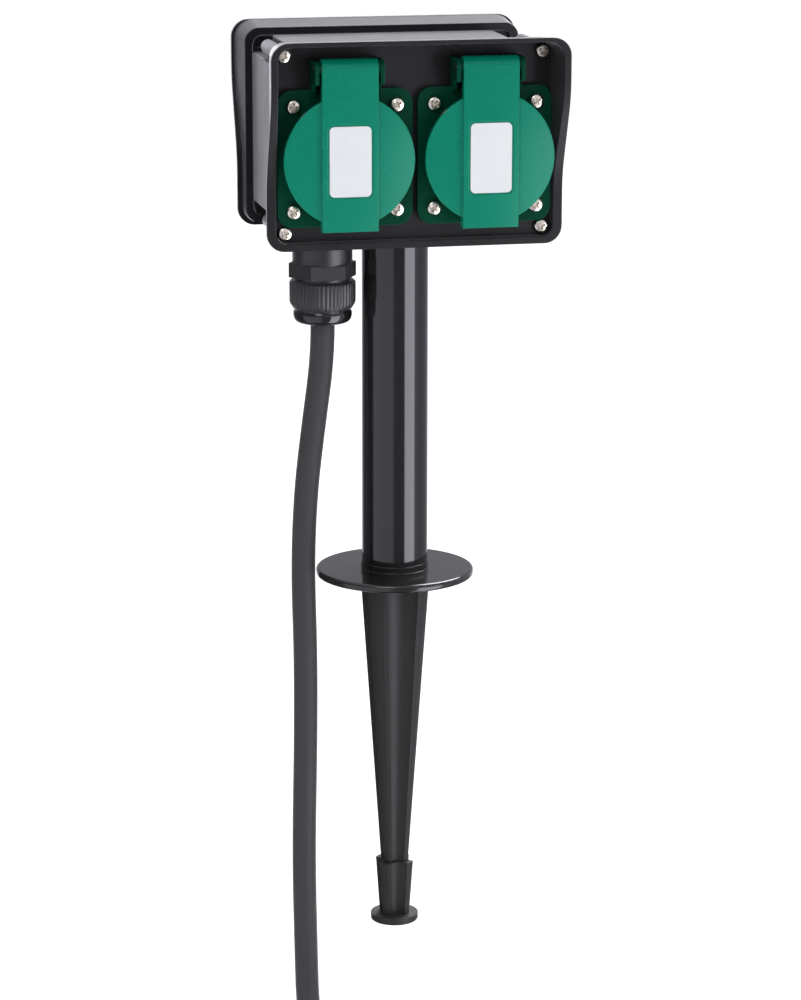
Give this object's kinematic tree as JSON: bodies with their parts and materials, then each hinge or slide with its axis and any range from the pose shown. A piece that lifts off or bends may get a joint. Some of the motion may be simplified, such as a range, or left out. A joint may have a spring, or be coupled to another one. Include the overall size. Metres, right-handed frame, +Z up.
{
  "type": "garden socket spike with timer",
  "caption": "Weatherproof garden power box on a ground spike: lidded sockets on one side, covered dial timer on the other, mains lead through a cable gland.",
  "frame": {"origin": "On the stem's axis, at the underside of the ground disc, where the spike stops when pushed in.", "axes": "+Z up along the stem, the sockets face -Y, the timer faces +Y, +X to the right seen from the sockets."},
  "size_m": [0.1701, 0.1788, 0.4357],
  "materials": {
    "black_plastic": "fine satin moulding",
    "black_gloss_plastic": "glossy extruded tube",
    "black_rubber": "soft seal",
    "cord_sheath": "matte sheath",
    "green_plastic": "satin moulding",
    "green_lid_plastic": "satin moulding, fine grain",
    "white_label": "plain sticker",
    "nickel_steel": "nickel-plated",
    "plated_contact": "nickel-plated strip",
    "brass_contact": "bare brass",
    "grey_plastic": "satin moulding",
    "dial_plastic": "light grey moulding",
    "dial_cap_plastic": "satin moulding",
    "tappet_plastic": "satin moulding",
    "clear_cover": "clear polycarbonate",
    "white_plastic": "ceramic-like moulding",
    "wire_insulation": "smooth insulation"
  },
  "bodies": {
    "spike_box": {"front_shell": "black_plastic", "rear_shell": "black_plastic", "shell_gasket": "black_rubber", "shell_screws": "nickel_steel", "socket_body_left": "green_plastic", "socket_insert_left": "green_plastic", "socket_gasket_left": "black_rubber", "socket_screws_left": "nickel_steel", "contacts_left": "brass_contact", "earth_clip_left": "plated_contact", "hinge_pin_left": "nickel_steel", "lid_spring_left": "nickel_steel", "socket_body_right": "green_plastic", "socket_insert_right": "green_plastic", "socket_gasket_right": "black_rubber", "socket_screws_right": "nickel_steel", "contacts_right": "brass_contact", "earth_clip_right": "plated_contact", "hinge_pin_right": "nickel_steel", "lid_spring_right": "nickel_steel", "stem_tube": "black_gloss_plastic", "ground_spike": "black_plastic", "gland_bushing": "black_plastic", "gland_body": "black_plastic", "gland_locknut": "black_plastic", "gland_seal": "black_rubber", "gland_nut": "black_plastic", "cord_inner_end": "cord_sheath", "terminal_block": "white_plastic", "terminal_screws": "nickel_steel", "supply_wires": "wire_insulation", "timer_body": "grey_plastic", "timer_gasket": "black_rubber", "timer_cover_pin": "nickel_steel", "timer_screws": "nickel_steel", "power_cord": "cord_sheath", "power_cord_coil": "cord_sheath", "plug_body": "cord_sheath", "plug_pins": "plated_contact", "plug_earth_contacts": "plated_contact"},
    "lid_left_flap": {"lid_left": "green_lid_plastic", "lid_seal_left": "black_rubber", "lid_label_left": "white_label"},
    "lid_right_flap": {"lid_right": "green_lid_plastic", "lid_seal_right": "black_rubber", "lid_label_right": "white_label"},
    "tip_cap_body": {"tip_cap": "black_plastic"},
    "dial": {"timer_dial": "dial_plastic", "dial_cap": "dial_cap_plastic"},
    "tappets_pressed": {"tappets_on": "tappet_plastic"},
    "tappets_raised": {"tappets_off": "tappet_plastic"},
    "switch": {"override_switch": "dial_cap_plastic"},
    "cover": {"timer_cover": "clear_cover"}
  },
  "joints": [
    {"name": "lid_left_hinge", "type": "hinge", "parent": "spike_box", "child": "lid_left_flap", "pos_m": [-0.0251, -0.0385, 0.1978], "axis": [-1, 0, 0], "range_deg": [0, 110], "stiffness_Nm_per_rad": 0.012, "springref_deg": -85.94},
    {"name": "lid_right_hinge", "type": "hinge", "parent": "spike_box", "child": "lid_right_flap", "pos_m": [0.0267, -0.0385, 0.1978], "axis": [-1, 0, 0], "range_deg": [0, 110], "stiffness_Nm_per_rad": 0.012, "springref_deg": -85.94},
    {"name": "tip_cap_pull", "type": "slide", "parent": "spike_box", "child": "tip_cap_body", "axis": [0, 0, -1], "range_m": [0, 0.034]},
    {"name": "dial_spin", "type": "hinge", "parent": "spike_box", "child": "dial", "pos_m": [0.0008, 0.034, 0.1714], "axis": [0, 1, 0], "continuous": true},
    {"name": "tappets_release", "type": "slide", "parent": "dial", "child": "tappets_pressed", "axis": [0, 1, 0], "range_m": [0, 0.0012]},
    {"name": "tappets_press", "type": "slide", "parent": "dial", "child": "tappets_raised", "axis": [0, -1, 0], "range_m": [0, 0.0012]},
    {"name": "override_slide", "type": "slide", "parent": "spike_box", "child": "switch", "axis": [0, 0, 1], "range_m": [0, 0.004]},
    {"name": "cover_hinge", "type": "hinge", "parent": "spike_box", "child": "cover", "pos_m": [0.0008, 0.0399, 0.1978], "axis": [1, 0, 0], "range_deg": [0, 105]}
  ]
}
